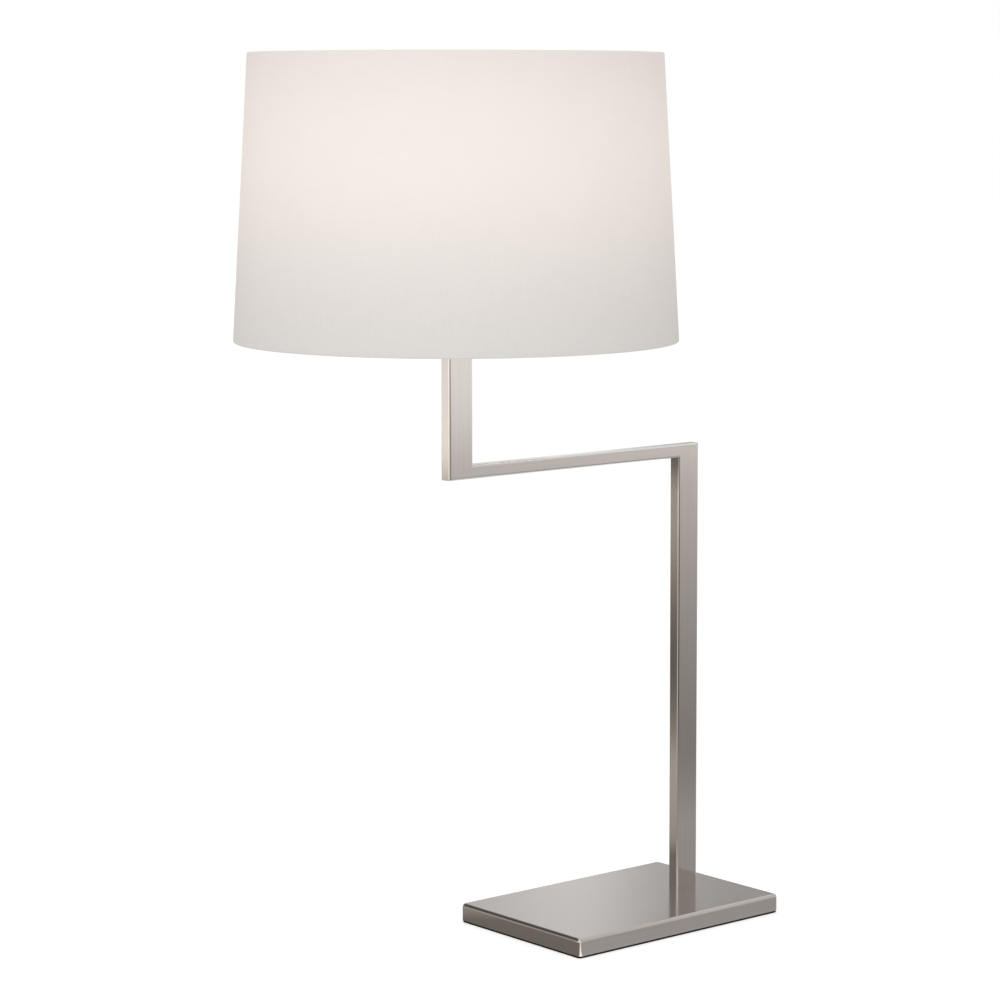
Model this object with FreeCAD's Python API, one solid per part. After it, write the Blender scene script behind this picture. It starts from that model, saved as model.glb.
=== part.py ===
"""Table lamp with an offset stem of flat tube, a round linen shade on a harp, and a screw-in bulb.

Millimetres. The origin is on the surface that the lamp stands on, under the centre of its base. +X runs along
the base towards the column, +Y towards the side where the supply cord comes in, and +Z up. The script writes one
STEP file for each sub-part.
"""

import FreeCAD
import Part
import math
import os

# ---------------------------------------------------------------- driving dimensions

BASE_LENGTH = 254.0          # along X
BASE_DEPTH = 171.5           # along Y
BASE_TOP = 18.0              # height of the base over the table, felt included
FELT_THICKNESS = 2.0
PLATE_THICKNESS = 1.5
COVER_WALL = 1.2             # pressed sheet
COVER_CORNER_R = 4.5         # its four upright edges
COVER_ROLL_R = 3.0           # the rolled edge round its top

STEM_DEPTH = 12.7            # all three tubes are this deep along Y
STEM_WALL = 1.2
STEM_EDGE_R = 2.0            # polished long edges
COLUMN_X = 81.0
COLUMN_WIDTH = 26.0
RISER_X = -199.0
RISER_WIDTH = 27.4
ARM_TOP = 450.0
ARM_HEIGHT = 12.7
RISER_TOP = 600.0

SHADE_BOTTOM = 563.0
SHADE_TOP = 819.3
SHADE_BOTTOM_R = 199.5
SHADE_TOP_R = 185.0
FABRIC = 0.8                 # linen, as thick as it lies on the liner
LINER = 1.0                  # stiff clear sheet that the linen is laminated to
HEM_WIDTH = 9.0              # linen turned in round each ring
RING_WIRE_R = 1.6
GLUE_GAP = 0.1               # between bonded or screwed pieces, so that their solids stay apart

HEAD_BOTTOM = RISER_TOP + 8.0   # top of the cap on the riser, where the harp saddle lies
HARP_LEG_X = 24.0
HARP_WIRE_R = 1.8
HARP_HALF_WIDTH = 60.0
HARP_TOP = 792.0             # centre line of the wire at its top
FERRULE_LIFT = 14.0          # travel that frees the harp from its saddle
RUNNING_GAP = 0.08           # radial, between a sliding or turning piece and what guides it

LEAD_R = 2.1                 # sheathed two-core lead
LEAD_BEND_R = 12.0           # inside the stem's two corners
LEAD_BASE_Z = 8.0            # where it lies in the weight's channel

BULB_R = 30.0
BULB_CENTRE = 727.0
BULB_CAP_R = 13.1            # medium screw cap
BULB_CAP_BOTTOM = 653.0
GLASS = 1.0

# ---------------------------------------------------------------- derived places

HALF_LENGTH = BASE_LENGTH / 2
HALF_DEPTH = BASE_DEPTH / 2
COVER_BOTTOM = FELT_THICKNESS
PLATE_TOP = COVER_BOTTOM + PLATE_THICKNESS
WEIGHT_TOP = BASE_TOP - COVER_WALL
ARM_BOTTOM = ARM_TOP - ARM_HEIGHT
ARM_Z = ARM_TOP - ARM_HEIGHT / 2
INLET_Z = 9.5
COLUMN_SCREW_XS = (COLUMN_X - 8.5, COLUMN_X + 8.5)
PLATE_SCREW_PLACES = [(x, y) for x in (-112.0, 112.0) for y in (-70.0, 70.0)]

Z = FreeCAD.Vector(0, 0, 1)
Y = FreeCAD.Vector(0, 1, 0)
ON_RISER = FreeCAD.Vector(RISER_X, 0, 0)


# ---------------------------------------------------------------- helpers


def point(x, y, z):
    return FreeCAD.Vector(x, y, z)


def block(x0, x1, y0, y1, z0, z1):
    return Part.makeBox(x1 - x0, y1 - y0, z1 - z0, point(x0, y0, z0))


def rod(radius, start, end):
    return Part.makeCylinder(radius, (end - start).Length, start, end - start)


def post(radius, x, y, z0, z1):
    return rod(radius, point(x, y, z0), point(x, y, z1))


def sleeve(outer, inner, x, y, z0, z1):
    return post(outer, x, y, z0, z1).cut(post(inner, x, y, z0, z1))


def is_upright(edge):
    ends = [v.Point for v in edge.Vertexes]
    return len(ends) == 2 and abs((ends[1] - ends[0]).normalize().z) > 0.999


def slab(length, depth, z0, z1, corner_r, x=0.0):
    """A rectangular slab centred on (x, 0), with rounded upright edges."""
    solid = block(x - length / 2, x + length / 2, -depth / 2, depth / 2, z0, z1)
    return solid.makeFillet(corner_r, [e for e in solid.Edges if is_upright(e)])


def edges_at(solid, z):
    return [e for e in solid.Edges if all(abs(v.Z - z) < 1e-6 for v in e.Vertexes)]


def polygon(points):
    """Edges of a closed outline of straight runs."""
    return [Part.LineSegment(a, b).toShape() for a, b in zip(points, points[1:] + points[:1])]


def arc(centre, start, end):
    """The shorter arc from start to end about centre."""
    middle = (start - centre) + (end - centre)
    middle.normalize()
    return Part.Arc(start, centre + middle * (start - centre).Length, end).toShape()


def turned(profile):
    """A solid of revolution on the riser's axis, from (radius, height) points or from edges in the XZ plane."""
    edges = profile if hasattr(profile[0], "Curve") else polygon([point(r, 0, z) for r, z in profile])
    face = Part.Face(Part.Wire(Part.__sortEdges__(edges)))
    solid = face.revolve(point(0, 0, 0), Z, 360)
    solid.translate(ON_RISER)
    return solid


def swept(path, radius):
    """A round wire or tube along a chain of tangent runs and arcs."""
    wire = Part.Wire(path)
    start = path[0].valueAt(path[0].FirstParameter)
    towards = path[0].tangentAt(path[0].FirstParameter)
    circle = Part.Wire(Part.makeCircle(radius, start, towards))
    return wire.makePipeShell([circle], True, False)


def run(a, b):
    return Part.LineSegment(a, b).toShape()


def save(node, shape):
    if not shape.isValid():
        raise ValueError(node + " is not a valid shape")
    shape.exportStep("parts/" + node + ".step")
    print(node, len(shape.Solids), "solids,", round(shape.Volume / 1000, 2), "cm3")


# ---------------------------------------------------------------- base


def base_cover():
    """A pressed tray, upside down, with holes for the lead, the column's screws and the cord bushing."""
    outer = slab(BASE_LENGTH, BASE_DEPTH, COVER_BOTTOM, BASE_TOP, COVER_CORNER_R)
    outer = outer.makeFillet(COVER_ROLL_R, edges_at(outer, BASE_TOP))
    length = BASE_LENGTH - 2 * COVER_WALL
    depth = BASE_DEPTH - 2 * COVER_WALL
    inner = slab(length, depth, COVER_BOTTOM - 1, WEIGHT_TOP, COVER_CORNER_R - COVER_WALL)
    inner = inner.makeFillet(COVER_ROLL_R - COVER_WALL, edges_at(inner, WEIGHT_TOP))
    holes = [post(3.5, COLUMN_X, 0, WEIGHT_TOP - 1, BASE_TOP + 1)]
    holes += [post(2.25, x, 0, WEIGHT_TOP - 1, BASE_TOP + 1) for x in COLUMN_SCREW_XS]
    holes.append(rod(BUSHING_NECK_R + GLUE_GAP, inlet(-COVER_WALL - 1), inlet(1)))
    return outer.cut(inner).cut(holes)


def base_weight():
    """A cast slab, counterbored for the column's screws, with a channel and a pocket for the wiring below."""
    solid = slab(BASE_LENGTH - 5, BASE_DEPTH - 5, PLATE_TOP, WEIGHT_TOP, COVER_CORNER_R)
    solid = solid.makeChamfer(1.5, edges_at(solid, WEIGHT_TOP))
    below = PLATE_TOP - 1
    half = LEAD_R + 0.7
    cuts = [
        block(COLUMN_X - half, COLUMN_X + half, -4, 41, below, 13),
        block(COLUMN_X - 18, COLUMN_X + 18, 40, 76, below, 14.5),
        block(COLUMN_X - 7, COLUMN_X + 7, 75, HALF_DEPTH, below, 15.5),
        post(4, COLUMN_X, 0, 12, BASE_TOP),
    ]
    for x in COLUMN_SCREW_XS:
        cuts += [post(2.25, x, 0, below, BASE_TOP), post(4, x, 0, below, SCREW_SEAT)]
    cuts += [post(2.1, x, y, below, 12) for x, y in PLATE_SCREW_PLACES]
    return solid.cut(cuts)


def base_plate():
    """The sheet that closes the base from below, countersunk for its four screws."""
    inset = 2 * (COVER_WALL + 0.2)
    solid = slab(BASE_LENGTH - inset, BASE_DEPTH - inset, COVER_BOTTOM, PLATE_TOP, COVER_CORNER_R - inset / 2)
    sinks = [screw_cone(x, y, GLUE_GAP) for x, y in PLATE_SCREW_PLACES]
    return solid.cut(sinks)


def screw_cone(x, y, extra=0.0):
    """A countersunk head, flush with the underside of the plate."""
    head, neck = 3.6 + extra, 1.9 + extra
    return Part.makeCone(head, neck, PLATE_THICKNESS, point(x, y, COVER_BOTTOM), Z)


def plate_screws():
    made = []
    for x, y in PLATE_SCREW_PLACES:
        slot = block(x - 3, x + 3, y - 0.4, y + 0.4, COVER_BOTTOM - 1, COVER_BOTTOM + 0.7)
        made.append(screw_cone(x, y).fuse(post(1.9, x, y, PLATE_TOP, 11)).cut(slot))
    return Part.makeCompound(made)


def felt_pad():
    return slab(BASE_LENGTH - 1, BASE_DEPTH - 1, 0, FELT_THICKNESS - 0.02, COVER_CORNER_R - 0.5)


BUSHING_NECK_R = 4.6
BUSHING_BORE_R = 3.25
SCREW_SEAT = 8.5


def inlet(outward):
    """A point on the axis of the cord's way in, so far outside the base's rear face."""
    return point(COLUMN_X, HALF_DEPTH + outward, INLET_Z)


def cord_bushing():
    """A moulded snap-in bushing that guards the cord where it enters the rear wall."""
    neck = rod(BUSHING_NECK_R, inlet(-7), inlet(0.05))
    flange = rod(6.2, inlet(0.05), inlet(1.8))
    flange = flange.makeFillet(0.8, [e for e in flange.Edges if abs(e.BoundBox.YMin - HALF_DEPTH - 1.8) < 1e-6])
    catch = Part.makeCone(5.4, BUSHING_NECK_R, 3, inlet(-COVER_WALL - GLUE_GAP), Y * -1)
    return neck.fuse([flange, catch]).cut(rod(BUSHING_BORE_R, inlet(-8), inlet(3)))


def wire_connectors():
    """Two crimped caps that join the lead to the supply cord."""
    made = []
    for x in (COLUMN_X - 8, COLUMN_X + 8):
        cap = Part.makeCone(4.2, 3.2, 17, point(x, 51, LEAD_BASE_Z), Y)
        made.append(cap.makeFillet(1.0, [e for e in cap.Edges if e.BoundBox.YMin > 67]))
    return Part.makeCompound(made)


def column_plug():
    """The solid end brazed into the foot of the column: the screws pull it down on to the base."""
    gap = 2 * (STEM_WALL + GLUE_GAP)
    plug = slab(COLUMN_WIDTH - gap, STEM_DEPTH - gap, BASE_TOP, BASE_TOP + 20, 0.8, COLUMN_X)
    holes = [post(2.0, x, 0, BASE_TOP - 1, BASE_TOP + 16) for x in COLUMN_SCREW_XS]
    holes.append(post(LEAD_R + 0.6, COLUMN_X, 0, BASE_TOP - 1, BASE_TOP + 21))
    return plug.cut(holes)


def column_screws():
    made = []
    for x in COLUMN_SCREW_XS:
        head = post(3.5, x, 0, SCREW_SEAT - 4.8, SCREW_SEAT - 0.8)
        socket = Part.makePolygon(
            [point(x + 1.7 * math.cos(a), 1.7 * math.sin(a), 0) for a in [math.radians(60 * k) for k in range(7)]]
        )
        drive = Part.Face(socket).extrude(Z * 2.2)
        drive.translate(Z * (SCREW_SEAT - 4.9))
        made.append(head.fuse(post(1.9, x, 0, SCREW_SEAT - 0.8, BASE_TOP + 14)).cut(drive))
    return Part.makeCompound(made)


def column_washers():
    return Part.makeCompound(
        [sleeve(3.8, 2.0, x, 0, SCREW_SEAT - 0.78, SCREW_SEAT) for x in COLUMN_SCREW_XS]
    )


# ---------------------------------------------------------------- stem


def stem_form(inset, overrun, edge_r):
    """The whole Z-shaped stem as one form, its long edges rounded: inset shrinks it, overrun lengthens its ends."""
    right, left = COLUMN_X + COLUMN_WIDTH / 2 - inset, COLUMN_X - COLUMN_WIDTH / 2 + inset
    near, far = RISER_X + RISER_WIDTH / 2 - inset, RISER_X - RISER_WIDTH / 2 + inset
    foot, top = BASE_TOP - overrun, RISER_TOP + overrun
    half = STEM_DEPTH / 2 - inset
    outline = [
        (left, foot), (right, foot), (right, ARM_TOP - inset), (near, ARM_TOP - inset),
        (near, top), (far, top), (far, ARM_BOTTOM + inset), (left, ARM_BOTTOM + inset),
    ]
    form = Part.Face(Part.Wire(polygon([point(x, -half, z) for x, z in outline]))).extrude(Y * 2 * half)
    long_edges = []
    for edge in form.Edges:
        ends = [v.Point for v in edge.Vertexes]
        across = abs(ends[0].y - ends[1].y) > 1e-6
        at_end = all(abs(p.z - foot) < 1e-6 for p in ends) or all(abs(p.z - top) < 1e-6 for p in ends)
        if not across and not at_end:
            long_edges.append(edge)
    return form.makeFillet(edge_r, long_edges)


def zone(outline):
    """A prism wider than the stem, from an outline in the XZ plane."""
    return Part.Face(Part.Wire(polygon([point(x, -20, z) for x, z in outline]))).extrude(Y * 40)


def stem_tubes():
    """The column, the arm and the riser, parted along the mitres that run from corner to corner."""
    hollow = stem_form(STEM_WALL, 1.0, STEM_EDGE_R - STEM_WALL)
    stem = stem_form(0.0, 0.0, STEM_EDGE_R).cut(hollow)
    left, right = COLUMN_X - COLUMN_WIDTH / 2, COLUMN_X + COLUMN_WIDTH / 2
    far, near = RISER_X - RISER_WIDTH / 2, RISER_X + RISER_WIDTH / 2
    column_rise = ARM_HEIGHT / COLUMN_WIDTH
    riser_rise = ARM_HEIGHT / RISER_WIDTH
    column_zone = zone(
        [(left - 1, 0), (right + 1, 0), (right + 1, ARM_TOP + column_rise), (left - 1, ARM_BOTTOM - column_rise)]
    )
    riser_zone = zone(
        [
            (far - 1, ARM_BOTTOM - riser_rise), (near + 1, ARM_TOP + riser_rise),
            (near + 1, RISER_TOP + 9), (far - 1, RISER_TOP + 9),
        ]
    )
    return {
        "column_tube": stem.common(column_zone),
        "arm_tube": stem.cut([column_zone, riser_zone]),
        "riser_tube": stem.common(riser_zone),
    }


def riser_cap():
    """The end piece brazed into the riser: two tongues in the tube and a bored block on top."""
    solid = slab(RISER_WIDTH, STEM_DEPTH, RISER_TOP, HEAD_BOTTOM, STEM_EDGE_R)
    gap = STEM_WALL + GLUE_GAP
    tongues = slab(RISER_WIDTH - 2 * gap, STEM_DEPTH - 2 * gap, RISER_TOP - 12, RISER_TOP, 0.8)
    tongues = tongues.cut(block(-6.5, 6.5, -9, 9, RISER_TOP - 13, RISER_TOP))
    solid = solid.fuse(tongues).cut(post(NIPPLE_R + GLUE_GAP, 0, 0, RISER_TOP - 1, HEAD_BOTTOM + 1))
    solid.translate(ON_RISER)
    return solid


def lead_path():
    """The lead's centre line from the base's pocket to the socket."""
    y_bend = 10.0
    floor_start = point(COLUMN_X, 44, LEAD_BASE_Z)
    floor_end = point(COLUMN_X, y_bend, LEAD_BASE_Z)
    rise = point(COLUMN_X, 0, LEAD_BASE_Z + y_bend)
    column_end = point(COLUMN_X, 0, ARM_Z - LEAD_BEND_R)
    arm_start = point(COLUMN_X - LEAD_BEND_R, 0, ARM_Z)
    arm_end = point(RISER_X + LEAD_BEND_R, 0, ARM_Z)
    riser_start = point(RISER_X, 0, ARM_Z + LEAD_BEND_R)
    riser_end = point(RISER_X, 0, LEAD_END)
    return [
        run(floor_start, floor_end),
        arc(floor_end + Z * y_bend, floor_end, rise),
        run(rise, column_end),
        arc(column_end - point(LEAD_BEND_R, 0, 0), column_end, arm_start),
        run(arm_start, arm_end),
        arc(arm_end + Z * LEAD_BEND_R, arm_end, riser_start),
        run(riser_start, riser_end),
    ]


LEAD_END = 620.0
CORE_R = 0.9


def inner_lead():
    """The lead held inside the base, the stem and the socket cap, with its two cores bared at each end."""
    path = lead_path()
    lead = swept(path, LEAD_R)
    expected = math.pi * LEAD_R**2 * sum(e.Length for e in path)
    if abs(lead.Volume / expected - 1) > 0.01:
        raise ValueError("the lead's sweep is not whole")
    print("inner lead", round(sum(e.Length for e in path)), "mm long, bends of", LEAD_BEND_R, "and 10.0 mm")
    cores = []
    for side in (-1, 1):
        low = point(COLUMN_X + side, 43.5, LEAD_BASE_Z)
        cores.append(rod(CORE_R, low, point(COLUMN_X + 8 * side, 50.1, LEAD_BASE_Z)))
        high = point(RISER_X + side, 0, LEAD_END - 0.5)
        corner = point(RISER_X + 12.8 * side, 0, BODY_BOTTOM - 2)
        cores.append(rod(CORE_R, high, corner))
        cores.append(Part.makeSphere(CORE_R, corner))
        cores.append(rod(CORE_R, corner, point(corner.x, 0, TERMINAL_Z - 3.6)))
    return lead.fuse(cores)


# ---------------------------------------------------------------- socket

NIPPLE_R = 4.85
SOCKET_CAP_BOTTOM = HEAD_BOTTOM + 2.8
SET_SCREW_R = 1.2
SET_SCREW_RISE = 3.2
SHELL_R = 16.75
SHELL_TOP = 670.0
BODY_BOTTOM = 632.0
BODY_TOP = 648.0
BODY_R = 14.9
TERMINAL_Z = 638.5
SHAFT_Z = 638.0
SHAFT_R = 1.6
KNOB_START = 23.0
KNOB_END = 37.0


def shaft_hole(radius, y0, y1):
    return rod(radius, point(RISER_X, -y0, SHAFT_Z), point(RISER_X, -y1, SHAFT_Z))


def socket_nipple():
    return sleeve(NIPPLE_R, 3.3, RISER_X, 0, RISER_TOP + 0.5, HEAD_BOTTOM + 10)


def harp_saddle():
    """A flat strip under the socket, turned up at both ends into a pin for each leg of the harp."""
    half = HARP_LEG_X + 1.1
    outer = block(-half, half, -3.5, 3.5, HEAD_BOTTOM, HEAD_BOTTOM + 14)
    outer = outer.makeFillet(4.0, [e for e in edges_at(outer, HEAD_BOTTOM) if abs(e.BoundBox.XLength) < 1e-6])
    inner = block(-half + 2.2, half - 2.2, -5, 5, HEAD_BOTTOM + 2, HEAD_BOTTOM + 16)
    inner = inner.makeFillet(2.0, [e for e in edges_at(inner, HEAD_BOTTOM + 2) if abs(e.BoundBox.XLength) < 1e-6])
    solid = outer.cut(inner).fuse(post(9.5, 0, 0, HEAD_BOTTOM, HEAD_BOTTOM + 2))
    pins = [post(HARP_WIRE_R, x, 0, HEAD_BOTTOM + 13, SADDLE_PIN_TOP) for x in (-HARP_LEG_X, HARP_LEG_X)]
    solid = solid.fuse(pins).cut(post(NIPPLE_R + GLUE_GAP, 0, 0, HEAD_BOTTOM - 1, HEAD_BOTTOM + 3))
    solid.translate(ON_RISER)
    return solid


SADDLE_PIN_TOP = 632.0


def lock_washer():
    return sleeve(8.6, NIPPLE_R + GLUE_GAP, RISER_X, 0, HEAD_BOTTOM + 2, SOCKET_CAP_BOTTOM - 0.02)


def socket_cap():
    """The spun cup at the foot of the socket, with a threaded hub."""
    low = SOCKET_CAP_BOTTOM
    wall = 0.65
    outer_r = SHELL_R + 0.15 + wall
    solid = turned(
        [
            (NIPPLE_R + GLUE_GAP, low), (7.6, low), (7.6, low + 6.5), (13.2, low + 9), (16.4, low + 13),
            (outer_r, low + 17), (outer_r, low + 23), (outer_r - wall, low + 23), (outer_r - wall, low + 17),
            (15.7, low + 13.5), (12.6, low + 9.9), (7, low + 7.4), (NIPPLE_R + GLUE_GAP, low + 7.4),
        ]
    )
    screw = point(RISER_X, 0, low + SET_SCREW_RISE)
    return solid.cut(rod(SET_SCREW_R + RUNNING_GAP, screw, screw + point(12, 0, 0)))


def cap_set_screw():
    """The small screw in the hub that keeps the socket from turning on its nipple."""
    start = point(RISER_X + NIPPLE_R + 0.2, 0, SOCKET_CAP_BOTTOM + SET_SCREW_RISE)
    screw = rod(SET_SCREW_R, start, start + point(4.6, 0, 0))
    slot = block(start.x + 4.0, start.x + 5, -1.5, 1.5, start.z - 0.25, start.z + 0.25)
    return screw.cut(slot)


def socket_shell():
    """The bright outer shell, slightly flared at its mouth and pierced for the switch."""
    low = SOCKET_CAP_BOTTOM + 18.5
    solid = turned(
        [
            (SHELL_R, low), (SHELL_R, SHELL_TOP - 2), (SHELL_R + 0.9, SHELL_TOP), (SHELL_R + 0.4, SHELL_TOP),
            (SHELL_R - 0.5, SHELL_TOP - 2), (SHELL_R - 0.5, low),
        ]
    )
    return solid.cut(shaft_hole(3.4, 10, 20))


def socket_insulator():
    solid = sleeve(16.05, 15.25, RISER_X, 0, SOCKET_CAP_BOTTOM + 19, SHELL_TOP - 3)
    return solid.cut(shaft_hole(3.4, 10, 20))


def socket_body():
    """The moulded body that holds the switch and the contacts, with a flat for each terminal."""
    solid = post(BODY_R, RISER_X, 0, BODY_BOTTOM, BODY_TOP)
    cuts = [shaft_hole(SHAFT_R + RUNNING_GAP, 4, 20)]
    for side in (-1, 1):
        x0, x1 = sorted((RISER_X + 11.0 * side, RISER_X + 20.0 * side))
        cuts.append(block(x0, x1, -16, 16, BODY_BOTTOM - 1, BODY_TOP - 5))
        inner = point(RISER_X + 6.0 * side, 0, TERMINAL_Z)
        cuts.append(rod(1.4, inner, inner + point(8.0 * side, 0, 0)))
    return solid.cut(cuts)


def terminal_screws():
    made = []
    for side in (-1, 1):
        out = point(side, 0, 0)
        seat = point(RISER_X + 11.05 * side, 0, TERMINAL_Z)
        screw = rod(2.7, seat, seat + out * 1.8).fuse(rod(1.3, seat - out * 4.5, seat))
        slot = block(-0.6, 0.6, -3, 3, -0.3, 0.3)
        slot.translate(seat + out * 1.8)
        made.append(screw.cut(slot))
    return Part.makeCompound(made)


def screw_shell():
    """The threaded brass shell that takes the bulb's cap."""
    return sleeve(14.05, BULB_CAP_R + 0.35, RISER_X, 0, BODY_TOP, SHELL_TOP - 4)


def centre_contact():
    """The springy tongue under the bulb's contact."""
    foot = block(-6, 2, -2, 2, BODY_TOP, BODY_TOP + 0.5)
    tongue = block(1.5, 2, -2, 2, BODY_TOP, BODY_TOP + 1.2).fuse(
        block(-3.5, 2, -2, 2, BODY_TOP + 0.8, BODY_TOP + 1.2)
    )
    solid = foot.fuse(tongue)
    solid.translate(ON_RISER)
    return solid


def switch_shaft():
    shaft = shaft_hole(SHAFT_R, 4.5, KNOB_START + 6)
    flat = block(RISER_X - 3, RISER_X + 3, -KNOB_START - 7, -KNOB_START - 1, SHAFT_Z + 1.1, SHAFT_Z + 3)
    return shaft.cut(flat)


def switch_knob():
    """A moulded knob with eight finger flutes, pushed on the shaft's flat."""
    start = point(RISER_X, -KNOB_START, SHAFT_Z)
    end = point(RISER_X, -KNOB_END, SHAFT_Z)
    knob = rod(6.2, start, end)
    knob = knob.makeFillet(1.4, [e for e in knob.Edges if e.BoundBox.YMax < -KNOB_END + 0.1])
    flutes = []
    for k in range(8):
        angle = math.radians(45 * k)
        offset = point(7.0 * math.cos(angle), 0, 7.0 * math.sin(angle))
        flutes.append(rod(1.5, start + offset - Y * 3, end + offset - Y))
    bore = rod(SHAFT_R + 0.05, start + Y, start - Y * 6.5)
    return knob.cut(flutes).cut(bore)


# ---------------------------------------------------------------- harp and finial


def harp_side(side):
    """One half of the harp's centre line, from its leg's foot to the top: straight, an S of two arcs, a quarter."""
    leg_top = SADDLE_PIN_TOP + 30.0
    widest = HARP_TOP - HARP_HALF_WIDTH
    out, up = HARP_HALF_WIDTH - HARP_LEG_X, widest - leg_top
    turn = 2 * math.atan2(out, up)
    bend_r = up / (2 * math.sin(turn))
    at = lambda x, z: point(RISER_X + side * x, 0, z)
    leg_foot = at(HARP_LEG_X, SADDLE_PIN_TOP + 0.1)
    leg_end = at(HARP_LEG_X, leg_top)
    middle = at(HARP_LEG_X + out / 2, leg_top + up / 2)
    wide = at(HARP_HALF_WIDTH, widest)
    top = at(0, HARP_TOP)
    return [
        run(leg_foot, leg_end),
        arc(at(HARP_LEG_X + bend_r, leg_top), leg_end, middle),
        arc(at(HARP_HALF_WIDTH - bend_r, widest), middle, wide),
        arc(at(0, widest), wide, top),
    ]


def harp_wire():
    """The sprung wire loop round the bulb, with the pierced pad at its top."""
    halves = [swept(harp_side(side), HARP_WIRE_R) for side in (-1, 1)]
    pad = post(7.5, RISER_X, 0, HARP_TOP - 1.4, HARP_TOP + 1.8)
    hole = post(2.1, RISER_X, 0, HARP_TOP - 5, HARP_TOP + 5)
    rivet_seat = post(3.4, RISER_X, 0, HARP_TOP - 5, HARP_TOP - 1.4)
    return halves[0].fuse([halves[1], pad]).cut([hole, rivet_seat])


def harp_stud():
    """The stud riveted through the pad: the shade's hub drops over it and the finial screws on to it."""
    return turned(
        [
            (0, HARP_TOP - 3), (3.2, HARP_TOP - 3), (3.2, HARP_TOP - 1.5), (2.0, HARP_TOP - 1.5),
            (2.0, HARP_TOP + 1.9), (6.5, HARP_TOP + 1.9), (6.5, STUD_SEAT), (STUD_R, STUD_SEAT),
            (STUD_R, STUD_SEAT + 12), (2.6, STUD_SEAT + 12.6), (0, STUD_SEAT + 12.6),
        ]
    )


STUD_R = 3.175
STUD_SEAT = HARP_TOP + 3.4
HUB_BOTTOM = STUD_SEAT + 0.1
HUB_TOP = HUB_BOTTOM + 2.0


def harp_ferrule(side):
    """A turned sleeve that locks one leg of the harp on its pin, and slides up the leg to free it."""
    x = RISER_X + side * HARP_LEG_X
    low = HEAD_BOTTOM + 14.2
    solid = post(4.0, x, 0, low, low + 18).fuse(post(4.5, x, 0, low, low + 3))
    return solid.cut(post(HARP_WIRE_R + RUNNING_GAP, x, 0, low - 1, low + 20))


def finial():
    """A low turned knob that stays under the shade's rim."""
    low = HUB_TOP + 0.1
    bore_r = STUD_R + RUNNING_GAP
    centre = point(0, 0, low + 12)
    ball_r = 6.0
    neck_r = 3.9
    drop = math.sqrt(ball_r**2 - neck_r**2)
    corners = [
        point(0, 0, low + 13.2), point(bore_r, 0, low + 13.2), point(bore_r, 0, low), point(8, 0, low),
        point(8, 0, low + 2.4), point(6.8, 0, low + 3.4), point(neck_r, 0, low + 4.2),
        point(neck_r, 0, low + 12 - drop),
    ]
    edges = [run(a, b) for a, b in zip(corners, corners[1:])]
    ball_side = centre + point(ball_r, 0, 0)
    ball_top = centre + Z * ball_r
    edges += [arc(centre, corners[-1], ball_side), arc(centre, ball_side, ball_top), run(ball_top, corners[0])]
    return turned(edges)


# ---------------------------------------------------------------- bulb


def bulb_profile(inset, low):
    """Half of the bulb's outline: a neck, a concave flank and a round crown, all moved inwards by inset."""
    neck_r, flank_r = 13.2, 45.0
    neck_top = BULB_CENTRE - math.sqrt((BULB_R + flank_r) ** 2 - (neck_r + flank_r) ** 2)
    crown = point(0, 0, BULB_CENTRE)
    flank = point(neck_r + flank_r, 0, neck_top)
    join = crown + (flank - crown) * ((BULB_R - inset) / (BULB_R + flank_r))
    foot = point(neck_r - inset, 0, low)
    neck_end = point(neck_r - inset, 0, neck_top)
    top = crown + Z * (BULB_R - inset)
    return foot, top, [run(foot, neck_end), arc(flank, neck_end, join), arc(crown, join, top)]


def bulb_glass():
    """The blown envelope, open at the neck, where the cap holds it."""
    low = BULB_CAP_BOTTOM + 22.2
    outer_foot, outer_top, outer = bulb_profile(0.0, low)
    inner_foot, inner_top, inner = bulb_profile(GLASS, low)
    return turned(outer + [run(outer_top, inner_top)] + inner + [run(inner_foot, outer_foot)])


def bulb_cap():
    """The thin screw cap, with a rounded thread all the way up."""
    low, high = BULB_CAP_BOTTOM, BULB_CAP_BOTTOM + 22
    wall, pitch, root_r = 0.5, 3.6, BULB_CAP_R - 0.9
    outline = [(9.5, low), (root_r, low + 2)]
    for k in range(5):
        crest = low + 2 + pitch * (k + 0.5)
        outline += [(BULB_CAP_R, crest - 0.6), (BULB_CAP_R, crest + 0.6), (root_r, crest + pitch / 2)]
    outline += [(BULB_CAP_R, high), (BULB_CAP_R - wall, high)]
    outline += [(root_r - wall, high - 2), (root_r - wall, low + 2 + wall), (9.5, low + wall)]
    return turned(outline)


def bulb_insulator():
    low = BULB_CAP_BOTTOM
    return turned([(0, low - 2), (4.6, low - 2), (9.4, low), (9.4, low + 1), (0, low + 1)])


def bulb_contact():
    low = BULB_CAP_BOTTOM - 2
    return turned([(0, low - 1.4), (3.2, low - 1.4), (4.4, low - 0.6), (4.4, low - 0.02), (0, low - 0.02)])


def bulb_mount():
    """The glass stem inside the bulb, with its two support wires and the filament between them."""
    low = BULB_CAP_BOTTOM + 22.4
    stem = turned([(0, low), (11.9, low), (11.9, low + 1), (4.5, low + 8), (3.4, low + 26), (0, low + 30)])
    wires = []
    for side in (-1, 1):
        foot = point(RISER_X + 2.0 * side, 0, low + 20)
        wires.append(rod(0.5, foot, point(RISER_X + 13.0 * side, 0, BULB_CENTRE + 3)))
    filament = rod(0.8, point(RISER_X - 13, 0, BULB_CENTRE + 3), point(RISER_X + 13, 0, BULB_CENTRE + 3))
    return stem.fuse(wires + [filament])


# ---------------------------------------------------------------- shade


def wall_r(z, inset):
    """The shade's radius at height z, moved inwards by inset."""
    along = (z - SHADE_BOTTOM) / (SHADE_TOP - SHADE_BOTTOM)
    return SHADE_BOTTOM_R + along * (SHADE_TOP_R - SHADE_BOTTOM_R) - inset


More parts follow.
